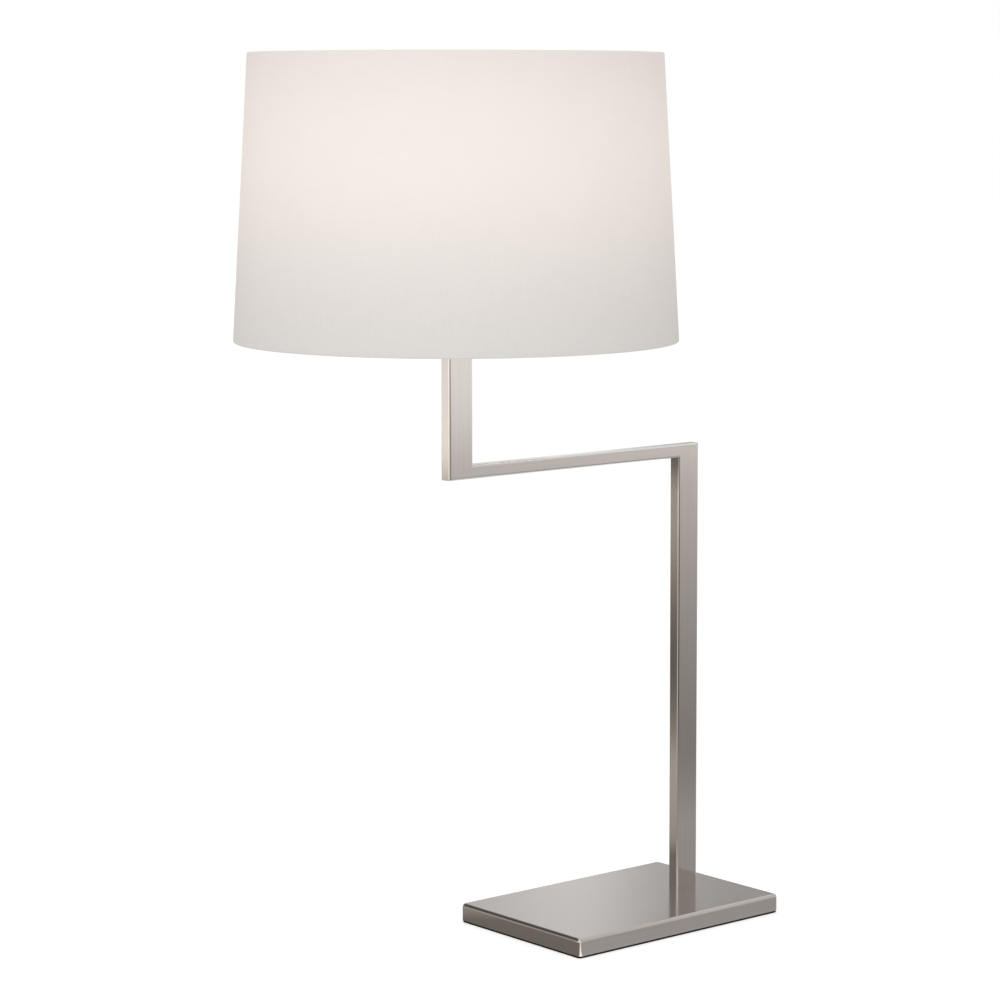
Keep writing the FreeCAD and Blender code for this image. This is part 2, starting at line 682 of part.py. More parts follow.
def wall_points(places):
    """(radius, height) points from (height, inset) pairs."""
    return [(wall_r(z, inset), z) for z, inset in places]


RING_INSET = FABRIC + LINER + RING_WIRE_R + 2 * GLUE_GAP
HEM_OUTER_INSET = RING_INSET + RING_WIRE_R + GLUE_GAP
HEM_INNER_INSET = HEM_OUTER_INSET + FABRIC
TOP_RING_Z = SHADE_TOP - FABRIC - RING_WIRE_R - GLUE_GAP
BOTTOM_RING_Z = SHADE_BOTTOM + FABRIC + RING_WIRE_R + GLUE_GAP
TOP_RING_R = wall_r(TOP_RING_Z, RING_INSET)
BOTTOM_RING_R = wall_r(BOTTOM_RING_Z, RING_INSET)
ARM_WIRE_Z = HUB_TOP + 0.6
ARM_ANGLES = (90, 210, 330)


def shade_fabric():
    """The linen: one skin outside the liner, turned in over both rings and notched round the spider's arms."""
    low, high = SHADE_BOTTOM, SHADE_TOP
    solid = turned(
        wall_points(
            [
                (low, 0), (high, 0), (high, HEM_INNER_INSET), (high - HEM_WIDTH, HEM_INNER_INSET),
                (high - HEM_WIDTH, HEM_OUTER_INSET), (high - FABRIC, HEM_OUTER_INSET), (high - FABRIC, FABRIC),
                (low + FABRIC, FABRIC), (low + FABRIC, HEM_OUTER_INSET), (low + HEM_WIDTH, HEM_OUTER_INSET),
                (low + HEM_WIDTH, HEM_INNER_INSET), (low, HEM_INNER_INSET),
            ]
        )
    )
    return solid.cut([notch for angle in ARM_ANGLES for notch in arm_notches(angle)])


def shade_liner():
    low, high = SHADE_BOTTOM + FABRIC + GLUE_GAP, SHADE_TOP - FABRIC - GLUE_GAP
    outside = FABRIC + GLUE_GAP
    inside = outside + LINER
    return turned(wall_points([(low, outside), (high, outside), (high, inside), (low, inside)]))


def ring(radius, z):
    return Part.makeTorus(radius, RING_WIRE_R, point(RISER_X, 0, z), Z)


def arm_points(angle):
    """Where a spider arm starts on the hub, where it bends up, and where it is welded to the top ring."""
    direction = point(math.cos(math.radians(angle)), math.sin(math.radians(angle)), 0)
    start = ON_RISER + direction * 10.5 + Z * ARM_WIRE_Z
    corner = ON_RISER + direction * (TOP_RING_R - 15) + Z * ARM_WIRE_Z
    end = ON_RISER + direction * (TOP_RING_R - 1.0) + Z * (TOP_RING_Z - 1.0)
    return start, corner, end


def arm_notches(angle):
    """Room in the turned-in linen for an arm's rising end."""
    _, corner, end = arm_points(angle)
    along = (end - corner).normalize()
    return [rod(RING_WIRE_R + 0.5, corner, end + along * 0.3)]


def spider_arm(angle):
    start, corner, end = arm_points(angle)
    bend_r = 12.0
    inward = (start - corner).normalize()
    upward = (end - corner).normalize()
    turn = math.pi - inward.getAngle(upward)
    reach = bend_r * math.tan(turn / 2)
    bend_start = corner + inward * reach
    bend_end = corner + upward * reach
    centre = bend_start + Z * bend_r
    return swept([run(start, bend_start), arc(centre, bend_start, bend_end), run(bend_end, end)], RING_WIRE_R)


def shade_spider():
    """The pierced hub and its three wire arms, welded."""
    hub = post(15, RISER_X, 0, HUB_BOTTOM, HUB_TOP)
    return hub.fuse([spider_arm(a) for a in ARM_ANGLES]).cut(post(3.7, RISER_X, 0, HUB_BOTTOM - 1, HUB_TOP + 3))


# ---------------------------------------------------------------- all sub-parts


def main():
    os.makedirs("parts", exist_ok=True)
    parts = {
        "base_cover": base_cover(),
        "base_weight": base_weight(),
        "base_plate": base_plate(),
        "plate_screws": plate_screws(),
        "felt_pad": felt_pad(),
        "cord_bushing": cord_bushing(),
        "wire_connectors": wire_connectors(),
        "column_plug": column_plug(),
        "column_screws": column_screws(),
        "column_washers": column_washers(),
        "riser_cap": riser_cap(),
        "inner_lead": inner_lead(),
        "socket_nipple": socket_nipple(),
        "harp_saddle": harp_saddle(),
        "lock_washer": lock_washer(),
        "socket_cap": socket_cap(),
        "cap_set_screw": cap_set_screw(),
        "socket_shell": socket_shell(),
        "socket_insulator": socket_insulator(),
        "socket_body": socket_body(),
        "terminal_screws": terminal_screws(),
        "screw_shell": screw_shell(),
        "centre_contact": centre_contact(),
        "switch_shaft": switch_shaft(),
        "switch_knob": switch_knob(),
        "harp_wire": harp_wire(),
        "harp_stud": harp_stud(),
        "harp_ferrule_left": harp_ferrule(-1),
        "harp_ferrule_right": harp_ferrule(1),
        "finial": finial(),
        "bulb_glass": bulb_glass(),
        "bulb_cap": bulb_cap(),
        "bulb_insulator": bulb_insulator(),
        "bulb_contact": bulb_contact(),
        "bulb_mount": bulb_mount(),
        "shade_fabric": shade_fabric(),
        "shade_liner": shade_liner(),
        "shade_top_ring": ring(TOP_RING_R, TOP_RING_Z),
        "shade_bottom_ring": ring(BOTTOM_RING_R, BOTTOM_RING_Z),
        "shade_spider": shade_spider(),
    }
    parts.update(stem_tubes())
    for node, shape in parts.items():
        save(node, shape)


main()
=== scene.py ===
import math

import bpy
from bpy.props import FloatProperty, FloatVectorProperty, IntProperty, PointerProperty
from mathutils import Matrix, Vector


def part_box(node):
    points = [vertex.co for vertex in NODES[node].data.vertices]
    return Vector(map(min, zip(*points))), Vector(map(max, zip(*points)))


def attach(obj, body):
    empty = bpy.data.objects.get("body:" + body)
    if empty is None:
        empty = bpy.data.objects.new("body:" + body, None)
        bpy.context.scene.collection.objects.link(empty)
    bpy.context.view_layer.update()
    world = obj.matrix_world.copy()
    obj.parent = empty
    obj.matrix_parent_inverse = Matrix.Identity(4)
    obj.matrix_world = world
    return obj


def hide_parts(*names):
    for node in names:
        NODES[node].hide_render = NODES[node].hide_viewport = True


bl_info = {
    "name": "Offset Stem Table Lamp",
    "version": (1, 0, 0),
    "blender": (4, 5, 0),
    "location": "3D View > Sidebar > Lamp",
    "description": "Linen shade, felt sole, finishes and stage for a table lamp with an offset stem",
    "category": "Object",
}

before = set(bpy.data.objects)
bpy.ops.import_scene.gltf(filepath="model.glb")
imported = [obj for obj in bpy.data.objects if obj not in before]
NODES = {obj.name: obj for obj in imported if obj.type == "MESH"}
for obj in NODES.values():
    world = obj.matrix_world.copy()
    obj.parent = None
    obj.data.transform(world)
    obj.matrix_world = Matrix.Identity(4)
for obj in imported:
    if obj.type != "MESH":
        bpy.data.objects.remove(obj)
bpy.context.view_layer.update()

SHADE_LOW, SHADE_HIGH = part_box("shade_fabric")
TOP_RING_LOW, TOP_RING_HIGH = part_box("shade_top_ring")
BULB_LOW, BULB_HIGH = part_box("bulb_glass")
FELT_LOW, FELT_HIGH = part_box("felt_pad")
BASE_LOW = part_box("base_cover")[0]

RISER_X = (SHADE_LOW.x + SHADE_HIGH.x) / 2
FOOT_RADIUS = (SHADE_HIGH.x - SHADE_LOW.x) / 2
WIRE_TO_LINEN = 0.0019      # from the outside of the top wire to the outside of the linen
HEAD_RADIUS = (TOP_RING_HIGH.x - TOP_RING_LOW.x) / 2 + WIRE_TO_LINEN
BULB_HEIGHT = BULB_HIGH.z - (BULB_HIGH.x - BULB_LOW.x) / 2
SPIDER_ANGLES = (90, 210, 330)
NOTCH_HALF_WIDTH = 0.0022   # half of the gap that the turned-in linen leaves for each spider arm
LAP_RISE = 0.004            # how far the linen runs while it climbs onto its own first end
FOLD_LENGTH = 0.007         # the last of the lap, which is folded under and stands a little higher
FELT_CORNER = 0.004         # radius of the felt's corners, half a millimetre less than the cover's


# ---------------------------------------------------------------- what a user would change


class ShadeSettings(bpy.types.PropertyGroup):
    cloth_colour: FloatVectorProperty(
        name="Linen", description="Colour of the linen by daylight", subtype="COLOR", size=3, min=0, max=1,
        default=(0.850, 0.836, 0.815),
    )
    glow_colour: FloatVectorProperty(
        name="Glow", description="Light that comes through the linen level with the bulb", subtype="COLOR",
        size=3, min=0, max=1, default=(0.280, 0.218, 0.184),
    )
    cloth_thickness: FloatProperty(
        name="Thickness", description="Thickness of the linen", default=0.0008, unit="LENGTH", precision=4,
    )
    hem_width: FloatProperty(
        name="Hem", description="Linen turned in round each wire", default=0.009, unit="LENGTH",
        precision=4,
    )
    hem_depth: FloatProperty(
        name="Hem depth", description="From the outside of the wall to the middle of the turned-in linen",
        default=0.0057, unit="LENGTH", precision=4,
    )
    lap: FloatProperty(
        name="Lap", description="Overlap of the linen's two ends at the back", default=0.012, unit="LENGTH",
        precision=4,
    )
    seam_angle: FloatProperty(
        name="Seam", description="Where the lapped seam stands, from +X", default=math.radians(52),
        unit="ROTATION",
    )
    thread_pitch: FloatProperty(
        name="Thread pitch", description="Distance between neighbouring threads", default=0.00062,
        unit="LENGTH", precision=5,
    )
    columns: IntProperty(
        name="Columns", description="Faces around the shade", default=288, min=48, max=720,
    )


class MetalSettings(bpy.types.PropertyGroup):
    nickel_colour: FloatVectorProperty(
        name="Satin nickel", description="Colour of the base and the stem", subtype="COLOR", size=3,
        min=0, max=1, default=(0.700, 0.640, 0.598),
    )
    nickel_roughness: FloatProperty(
        name="Satin roughness", description="Roughness between the polishing lines", default=0.13,
        min=0, max=1, subtype="FACTOR",
    )
    bright_colour: FloatVectorProperty(
        name="Bright nickel", description="Colour of the harp and the socket", subtype="COLOR", size=3,
        min=0, max=1, default=(0.78, 0.75, 0.71),
    )
    brass_colour: FloatVectorProperty(
        name="Brass", description="Colour of the contacts and the switch shaft", subtype="COLOR", size=3,
        min=0, max=1, default=(0.80, 0.60, 0.29),
    )


class BulbSettings(bpy.types.PropertyGroup):
    light_colour: FloatVectorProperty(
        name="Light", description="Colour of the light from the frosted glass", subtype="COLOR", size=3,
        min=0, max=1, default=(1.0, 0.86, 0.70),
    )
    light_power: FloatProperty(
        name="Brightness", description="Brightness of the frosted glass", default=7.0, min=0, max=100,
    )


class StageSettings(bpy.types.PropertyGroup):
    camera_place: FloatVectorProperty(
        name="Camera", description="Where the camera stands", subtype="TRANSLATION", unit="LENGTH", size=3,
        default=(-1.9639, -2.1840, 0.7841),
    )
    camera_turn: FloatProperty(
        name="Turn", description="Camera's heading from +Y towards +X", default=math.radians(40.648),
        unit="ROTATION",
    )
    camera_tilt: FloatProperty(
        name="Tilt", description="Camera's tilt above the horizon", default=math.radians(-5.958),
        unit="ROTATION",
    )
    camera_lens: FloatProperty(
        name="Lens", description="Focal length in millimetres", default=113.02, min=1, max=500,
    )
    daylight: FloatProperty(
        name="Daylight", description="Even light from all round", default=0.60, min=0, max=10,
    )
    key_power: FloatProperty(
        name="Key light", description="Power of the large soft light in front", default=11.3, unit="POWER",
    )
    floor_radius: FloatProperty(
        name="Floor", description="Half the width of the floor", default=9.0, unit="LENGTH",
    )


# ---------------------------------------------------------------- shader maths


class Value:
    """A socket in a sum: the operators add Math nodes, so a formula reads as one."""

    def __init__(self, finish, socket):
        self.finish = finish
        self.socket = socket

    def __add__(self, other):
        return self.finish.maths("ADD", self, other)

    __radd__ = __add__

    def __sub__(self, other):
        return self.finish.maths("SUBTRACT", self, other)

    def __rsub__(self, other):
        return self.finish.maths("SUBTRACT", other, self)

    def __mul__(self, other):
        return self.finish.maths("MULTIPLY", self, other)

    __rmul__ = __mul__

    def __truediv__(self, other):
        return self.finish.maths("DIVIDE", self, other)

    def __rtruediv__(self, other):
        return self.finish.maths("DIVIDE", other, self)

    def __abs__(self):
        return self.finish.maths("ABSOLUTE", self)


class Finish:
    """The node tree of one material, or of the world."""

    def __init__(self, name, owner=None):
        self.owner = owner or bpy.data.materials.new(name)
        self.owner.use_nodes = True
        self.tree = self.owner.node_tree
        self.tree.nodes.clear()

    def node(self, kind, settings=None, sockets=None, output=0):
        """Adds a node: its settings first, then the values or links of its sockets."""
        made = self.tree.nodes.new(kind)
        for name, value in (settings or {}).items():
            if name == "stops":
                self.set_stops(made.color_ramp, value)
            else:
                setattr(made, name, value)
        for name, value in (sockets or {}).items():
            if isinstance(value, Value):
                self.tree.links.new(value.socket, made.inputs[name])
            else:
                made.inputs[name].default_value = value
        return Value(self, made.outputs[output])

    @staticmethod
    def set_stops(ramp, stops):
        """Stops are (place, level) pairs in rising order."""
        while len(ramp.elements) > 1:
            ramp.elements.remove(ramp.elements[-1])
        for number, (place, level) in enumerate(stops):
            element = ramp.elements[0] if number == 0 else ramp.elements.new(place)
            element.position = place
            element.color = rgba(level)

    def maths(self, operation, *values):
        """One Math node on plain numbers or links."""
        return self.node("ShaderNodeMath", {"operation": operation}, dict(enumerate(values)))

    def place(self):
        """The point on the piece, in metres, which moves with the piece."""
        return self.node("ShaderNodeTexCoord", output="Object")

    def facing(self):
        """The way that the surface faces, in the piece's own frame."""
        return self.node("ShaderNodeTexCoord", output="Normal")

    def parts(self, vector):
        """The three parts of a vector."""
        split = self.node("ShaderNodeSeparateXYZ", {}, {0: vector}).socket.node
        return [Value(self, socket) for socket in split.outputs]

    def vector(self, x, y, z):
        """A vector from its three parts."""
        return self.node("ShaderNodeCombineXYZ", {}, {0: x, 1: y, 2: z})

    def stretched(self, vector, scale):
        """A vector with each part multiplied by its own number."""
        return self.node("ShaderNodeVectorMath", {"operation": "MULTIPLY"}, {0: vector, 1: scale})

    def dot(self, vector, direction):
        """How far a vector reaches along a direction."""
        sockets = {0: vector, 1: direction}
        return self.node("ShaderNodeVectorMath", {"operation": "DOT_PRODUCT"}, sockets, "Value")

    def noise(self, vector, cells=None, detail=2.0, rough=0.5, warp=0.0):
        """Even noise from 0 to 1, with so many cells to a unit of the vector: one number, or x, y and z."""
        if cells is not None:
            vector = self.stretched(vector, cells if isinstance(cells, tuple) else (cells, cells, cells))
        return self.node(
            "ShaderNodeTexNoise", {"noise_type": "FBM"},
            {"Vector": vector, "Scale": 1.0, "Detail": detail, "Roughness": rough, "Distortion": warp},
        )

    def band(self, value, low, high, from_level=0.0, to_level=1.0):
        """Goes smoothly from one level to another while the value goes from low to high."""
        return self.node(
            "ShaderNodeMapRange", {"interpolation_type": "SMOOTHSTEP"},
            {0: value, 1: low, 2: high, 3: from_level, 4: to_level},
        )

    def grey_ramp(self, value, stops):
        """A plain number that follows a line through (place, level) stops."""
        return self.dot(self.node("ShaderNodeValToRGB", {"stops": stops}, {0: value}), (1.0, 0.0, 0.0))

    def mix(self, share, first, second):
        """A colour between two others."""
        return self.node(
            "ShaderNodeMix", {"data_type": "RGBA", "blend_type": "MIX"},
            {0: share, 6: rgba(first), 7: rgba(second)}, 2,
        )

    def scaled(self, colour, level):
        """A colour made lighter or darker by a value."""
        return self.node("ShaderNodeVectorMath", {"operation": "SCALE"}, {0: plain(colour), "Scale": level})

    def bump(self, height, distance, strength=1.0):
        """A normal from a height between 0 and 1 that stands for so many metres."""
        sockets = {"Height": height, "Distance": distance, "Strength": strength}
        return self.node("ShaderNodeBump", {}, sockets)

    def surface(self, **sockets):
        """Ends the material in one Principled surface, whose sockets are named with _ for a space."""
        named = {name.replace("_", " "): rgba(v) if "Color" in name else v for name, v in sockets.items()}
        shader = self.node("ShaderNodeBsdfPrincipled", {}, named)
        return self.shown_by("ShaderNodeOutputMaterial", shader)

    def shown_by(self, kind, shader):
        """Ends the tree in an output of a kind, and hands over the material or the world."""
        end = self.tree.nodes.new(kind)
        self.tree.links.new(shader.socket, end.inputs["Surface"])
        return self.owner


def rgba(level):
    """A colour with its fourth part, from a grey level, a colour or a link."""
    if isinstance(level, Value):
        return level
    if isinstance(level, (int, float)):
        return (level, level, level, 1.0)
    return (*tuple(level)[:3], 1.0)


def plain(colour):
    """A colour's three parts, or the link that carries it."""
    return colour if isinstance(colour, Value) else tuple(colour)[:3]


def tinted(colour, level):
    """A plain colour, lighter or darker."""
    return tuple(min(1.0, part * level) for part in tuple(colour)[:3])


# ---------------------------------------------------------------- metal finishes

# cells to the metre of the polishing lines, along x, y and z
ALONG_X = (16.0, 1300.0, 1300.0)
ALONG_Z = (1300.0, 1300.0, 16.0)
ROUND_ABOUT = (1300.0, 1300.0, 1300.0)


def satin_nickel(name, grain, roughness=None, depth=1.0, lacquer=0.0, painted_edge_highlight=1.0, painted_corner_shade=False):
    """Warm nickel plate over fine polishing lines that run one way, with faint clouds from handling.

    It can have a clear lacquer with a soft haze. The rounded long edges can be lightened as a painted
    highlight, and the inside of the mitre under the arm can be darkened as painted shade.
    """
    metal = bpy.context.scene.lamp_metal
    base = metal.nickel_roughness if roughness is None else roughness
    finish = Finish(name)
    place = finish.place()
    lines = finish.noise(place, grain, detail=2.0, rough=0.6)
    streaks = finish.noise(place, tuple(part * 0.22 for part in grain), detail=3.0)
    clouds = finish.noise(place, 13.0, detail=3.0, rough=0.55)
    tone = finish.band(lines * 0.45 + streaks * 0.35 + clouds * 0.2, 0.3, 0.7)
    colour = finish.mix(tone, tinted(metal.nickel_colour, 0.965), tinted(metal.nickel_colour, 1.03))
    rough = base + (lines - 0.5) * 0.05 + (clouds - 0.5) * 0.05
    height = lines * 0.6 + streaks * 0.4
    # painted highlight: the colour is lightened on the rounded long edges, where the metal mirrors a bright
    # line
    if painted_edge_highlight > 1.0:
        upright = abs(finish.parts(finish.facing())[2])
        rounded = finish.band(upright, 0.12, 0.3) * finish.band(upright, 0.95, 0.995, 1.0, 0.0)
        colour = finish.scaled(colour, 1.0 + rounded * (painted_edge_highlight - 1.0))
    # painted shade: the column's face just under the arm is darkened, where the inside corner is in shade
    if painted_corner_shade:
        below_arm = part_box("arm_tube")[0].z - finish.parts(place)[2]
        towards_riser = 0.0 - finish.parts(finish.facing())[0]
        inside = finish.band(below_arm, 0.0, 0.040, 1.0, 0.0) * finish.band(towards_riser, 0.6, 0.95)
        colour = finish.scaled(colour, 1.0 - inside * 0.76)
    return finish.surface(
        Base_Color=colour, Metallic=1.0, Roughness=rough, Coat_Weight=lacquer, Coat_Roughness=0.4,
        Normal=finish.bump(height, 0.00001 * depth, 0.5),
    )


def bright_nickel(name):
    """Bright plate on turned, drawn and spun pieces, with faint drawing marks and a few dull specks."""
    metal = bpy.context.scene.lamp_metal
    finish = Finish(name)
    place = finish.place()
    marks = finish.noise(place, (900.0, 900.0, 60.0), detail=2.0)
    specks = finish.band(finish.noise(place, 420.0, detail=1.0), 0.66, 0.76)
    colour = finish.mix(specks * 0.35, metal.bright_colour, tinted(metal.bright_colour, 0.72))
    return finish.surface(
        Base_Color=colour, Metallic=1.0, Roughness=0.11 + marks * 0.07 + specks * 0.18,
        Normal=finish.bump(marks, 0.000006, 0.5),
    )


def wire_nickel(name):
    """Drawn wire with a thin dull plate and spots where it was welded."""
    finish = Finish(name)
    place = finish.place()
    pitted = finish.noise(place, 700.0, detail=3.0)
    clouds = finish.noise(place, 45.0, detail=2.0)
    colour = finish.mix(finish.band(clouds, 0.35, 0.7), (0.62, 0.60, 0.57), (0.74, 0.72, 0.69))
    return finish.surface(
        Base_Color=colour, Metallic=1.0, Roughness=0.26 + pitted * 0.12,
        Normal=finish.bump(pitted, 0.00002, 0.4),
    )


def brass(name):
    """Drawn brass, a little browner where air and hands have dulled it."""
    metal = bpy.context.scene.lamp_metal
    finish = Finish(name)
    place = finish.place()
    tarnish = finish.band(finish.noise(place, 150.0, detail=4.0), 0.45, 0.72)
    marks = finish.noise(place, (1100.0, 1100.0, 90.0), detail=2.0)
    colour = finish.mix(tarnish, metal.brass_colour, tinted(metal.brass_colour, 0.62))
    return finish.surface(
        Base_Color=colour, Metallic=1.0, Roughness=0.2 + tarnish * 0.18 + marks * 0.06,
        Normal=finish.bump(marks, 0.00001, 0.4),
    )


def zinc(name, rough):
    """Zinc plate with the faint patchwork of its crystals."""
    finish = Finish(name)
    place = finish.place()
    crystals = finish.node(
        "ShaderNodeTexVoronoi", {"feature": "F1"},
        {"Vector": finish.stretched(place, (260.0, 260.0, 260.0)), "Scale": 1.0, "Randomness": 1.0},
        "Distance",
    )
    grain = finish.noise(place, 900.0, detail=2.0)
    colour = finish.mix(crystals, (0.60, 0.61, 0.63), (0.72, 0.73, 0.74))
    return finish.surface(
        Base_Color=colour, Metallic=1.0, Roughness=rough + crystals * 0.08 + grain * 0.06,
        Normal=finish.bump(grain, 0.00001, 0.4),
    )


def rolled_aluminium(name):
    """Thin rolled aluminium, matt with a fine grain round it."""
    finish = Finish(name)
    place = finish.place()
    grain = finish.noise(place, (300.0, 300.0, 2600.0), detail=2.0)
    clouds = finish.noise(place, 160.0, detail=2.0)
    colour = finish.mix(clouds, (0.70, 0.70, 0.69), (0.84, 0.84, 0.83))
    return finish.surface(
        Base_Color=colour, Metallic=1.0, Roughness=0.27 + grain * 0.12,
        Normal=finish.bump(grain, 0.00001, 0.4),
    )


def dull_solder(name):
    """A blob of solder, grey and slightly dimpled."""
    finish = Finish(name)
    dimples = finish.noise(finish.place(), 800.0, detail=3.0)
    colour = finish.mix(dimples, (0.42, 0.42, 0.42), (0.62, 0.62, 0.61))
    return finish.surface(
        Base_Color=colour, Metallic=1.0, Roughness=0.34 + dimples * 0.2,
        Normal=finish.bump(dimples, 0.00005, 0.5),
    )


def grey_casting(name):
    """Rough sand-cast iron under a thin coat of grey paint."""
    finish = Finish(name)
    place = finish.place()
    sand = finish.noise(place, 650.0, detail=4.0, rough=0.65)
    stains = finish.band(finish.noise(place, 35.0, detail=3.0), 0.5, 0.75)
    colour = finish.mix(stains * 0.6, (0.13, 0.13, 0.135), (0.17, 0.11, 0.075))
    return finish.surface(
        Base_Color=colour, Metallic=0.25, Roughness=0.62 + sand * 0.2,
        Normal=finish.bump(sand, 0.0002, 0.6),
    )


# ---------------------------------------------------------------- moulded, fibre and glass finishes


def moulded(name, colour, rough):
    """A moulded piece: fine mould texture, and a slightly uneven gloss."""
    finish = Finish(name)
    place = finish.place()
    fine = finish.noise(place, 1500.0, detail=2.0)
    flow = finish.noise(place, 70.0, detail=3.0)
    tone = finish.mix(flow, tinted(colour, 0.86), tinted(colour, 1.1))
    return finish.surface(
        Base_Color=tone, Roughness=rough + (fine - 0.5) * 0.1 + (flow - 0.5) * 0.08,
        Normal=finish.bump(fine, 0.00001, 0.5),
    )


def fibre_board(name):
    """Pressed fibre, buff with darker flecks."""
    finish = Finish(name)
    place = finish.place()
    fibres = finish.noise(place, (1200.0, 1200.0, 160.0), detail=3.0)
    flecks = finish.band(finish.noise(place, (380.0, 380.0, 120.0), detail=2.0), 0.6, 0.72)
    colour = finish.mix(flecks * 0.6 + fibres * 0.2, (0.58, 0.47, 0.33), (0.34, 0.25, 0.16))
    return finish.surface(
        Base_Color=colour, Roughness=0.7 + fibres * 0.15, Normal=finish.bump(fibres, 0.00004, 0.5),
    )


def soft_sheath(name):
    """The lead's clear gold sheath, with its twisted cores showing through."""
    finish = Finish(name)
    place = finish.place()
    x, y, z = finish.parts(place)
    twist = finish.maths("SINE", (x + y + z) * 420.0) * 0.5 + 0.5
    dust = finish.noise(place, 240.0, detail=3.0)
    colour = finish.mix(twist, (0.55, 0.46, 0.28), (0.74, 0.69, 0.55))
    return finish.surface(
        Base_Color=colour, Roughness=0.22 + dust * 0.15, Normal=finish.bump(twist, 0.00005, 0.4),
    )


def lit_glass(name):
    """Frosted glass with the lamp lit inside: brightest round the crown, dimmer towards the neck."""
    bulb = bpy.context.scene.lamp_bulb
    finish = Finish(name)
    place = finish.place()
    height = finish.parts(place)[2]
    frost = finish.noise(place, 900.0, detail=2.0)
    level = finish.band(height, BULB_LOW.z, BULB_HEIGHT, 0.25, 1.0) * (0.97 + frost * 0.06)
    return finish.surface(
        Base_Color=(0.93, 0.92, 0.89), Roughness=0.35 + frost * 0.12,
        Emission_Color=finish.scaled(bulb.light_colour, level), Emission_Strength=bulb.light_power,
        Normal=finish.bump(frost, 0.00001, 0.4),
    )


def inner_glass(name):
    """The glass mount inside the bulb, with a faint seed of bubbles."""
    finish = Finish(name)
    bubbles = finish.noise(finish.place(), 600.0, detail=2.0)
    return finish.surface(
        Base_Color=finish.mix(bubbles, (0.86, 0.90, 0.90), (0.96, 0.98, 0.98)),
        Roughness=0.06 + bubbles * 0.05, Alpha=0.4, IOR=1.5,
    )


def lining(name):
    """The stiff white sheet inside the shade, smooth, with a faint print of the linen's threads."""
    finish = Finish(name)
    place = finish.place()
    x, y, z = finish.parts(place)
    around = finish.maths("ARCTAN2", y, x - RISER_X) * FOOT_RADIUS
    threads = finish.noise(finish.vector(around * 900.0, z * 40.0, 0.0), detail=2.0) * 0.5
    threads = threads + finish.noise(finish.vector(around * 40.0, z * 900.0, 5.0), detail=2.0) * 0.5
    clouds = finish.noise(place, 14.0, detail=3.0)
    colour = finish.mix(threads * 0.5 + clouds * 0.5, (0.86, 0.835, 0.79), (0.94, 0.92, 0.885))
    return finish.surface(
        Base_Color=colour, Roughness=0.48 + (clouds - 0.5) * 0.12,
        Normal=finish.bump(threads, 0.00003, 0.4),
    )


# ---------------------------------------------------------------- cloth finishes


def linen(name):
    """Plain-weave linen lit from behind: threads both ways with slubs, and the bulb's glow through them."""
    shade = bpy.context.scene.lamp_shade
    finish = Finish(name)
    x, y, z = finish.parts(finish.place())
    radius = (FOOT_RADIUS + HEAD_RADIUS) / 2
    around = finish.maths("ARCTAN2", y, x - RISER_X) * radius
    uneven = finish.noise(finish.vector(around * 60.0, z * 60.0, 2.0), detail=2.0) - 0.5
    weft = finish.noise(finish.vector(around * 38.0, z * 1050.0, 0.0), detail=2.0, rough=0.6)
    warp = finish.noise(finish.vector(around * 1050.0, z * 38.0, 7.0), detail=2.0, rough=0.6)
    weft_lumps = finish.noise(finish.vector(around * 55.0, z * 620.0, 11.0), detail=1.0)
    warp_lumps = finish.noise(finish.vector(around * 620.0, z * 55.0, 17.0), detail=1.0)
    turns_u = (around + uneven * shade.thread_pitch * 1.6) * (math.pi / shade.thread_pitch)
    turns_v = (z + uneven * shade.thread_pitch * 1.6) * (math.pi / shade.thread_pitch)
    crown_u = abs(finish.maths("SINE", turns_u))
    crown_v = abs(finish.maths("SINE", turns_v))
    over = finish.band(finish.maths("SINE", turns_u) * finish.maths("SINE", turns_v), -0.15, 0.15)
    weave = crown_u * over + crown_v * (1.0 - over)
    threads = weft * 0.5 + warp * 0.5
    slubs = finish.band(weft_lumps, 0.66, 0.8) + finish.band(warp_lumps, 0.68, 0.82)
    tone = finish.band(threads + (weave - 0.6) * 0.12 - slubs * 0.12, 0.3, 0.7)
    colour = finish.mix(tone, tinted(shade.cloth_colour, 0.978), tinted(shade.cloth_colour, 1.020))
    rise = z - (BULB_HEIGHT + 0.010)
    near = radius / finish.maths("SQRT", rise * rise + radius * radius)
    glow = near * near * near * near
    patches = finish.noise(finish.vector(around * 16.0, z * 22.0, 23.0), detail=3.0) - 0.5
    through = 1.0 + (threads - 0.5) * 0.24 + patches * 0.10 - slubs * 0.10 + (weave - 0.6) * 0.03
    height = weave * 0.45 + threads * 0.35 + slubs * 0.4
    return finish.surface(
        Base_Color=colour, Roughness=0.86 + (threads - 0.5) * 0.2, Sheen_Weight=0.06,
        Emission_Color=finish.scaled(shade.glow_colour, glow * through), Emission_Strength=1.0,
        Normal=finish.bump(height, 0.00012, 0.5),
    )


def felt(name):
    """Dense black felt: matted fibres, a little lint, and a duller bloom where it rubs."""
    finish = Finish(name)
    place = finish.place()
    matted = finish.noise(place, 950.0, detail=4.0, rough=0.7, warp=0.6)
    lint = finish.band(finish.noise(place, 520.0, detail=1.0, warp=2.0), 0.7, 0.8)
    rubbed = finish.noise(place, 22.0, detail=2.0)
    colour = finish.mix(lint * 0.5 + rubbed * 0.25, (0.004, 0.004, 0.005), (0.034, 0.033, 0.032))
    return finish.surface(
        Base_Color=colour, Roughness=0.93 + matted * 0.06, Sheen_Weight=0.06,
        Specular_IOR_Level=0.2, Normal=finish.bump(matted, 0.0003, 0.7),
    )


# ---------------------------------------------------------------- mesh helpers


def new_piece(name, mesh, body, slot, material, *replaced):
    """Puts a made mesh in the scene with its material: on its body, and in place of its plain solids. Its
    slot is not used.
    """
    piece = bpy.data.objects.new(name, mesh)
    bpy.context.scene.collection.objects.link(piece)
    mesh.materials.append(material)
    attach(piece, body)
    if replaced:
        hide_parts(*replaced)
    return piece


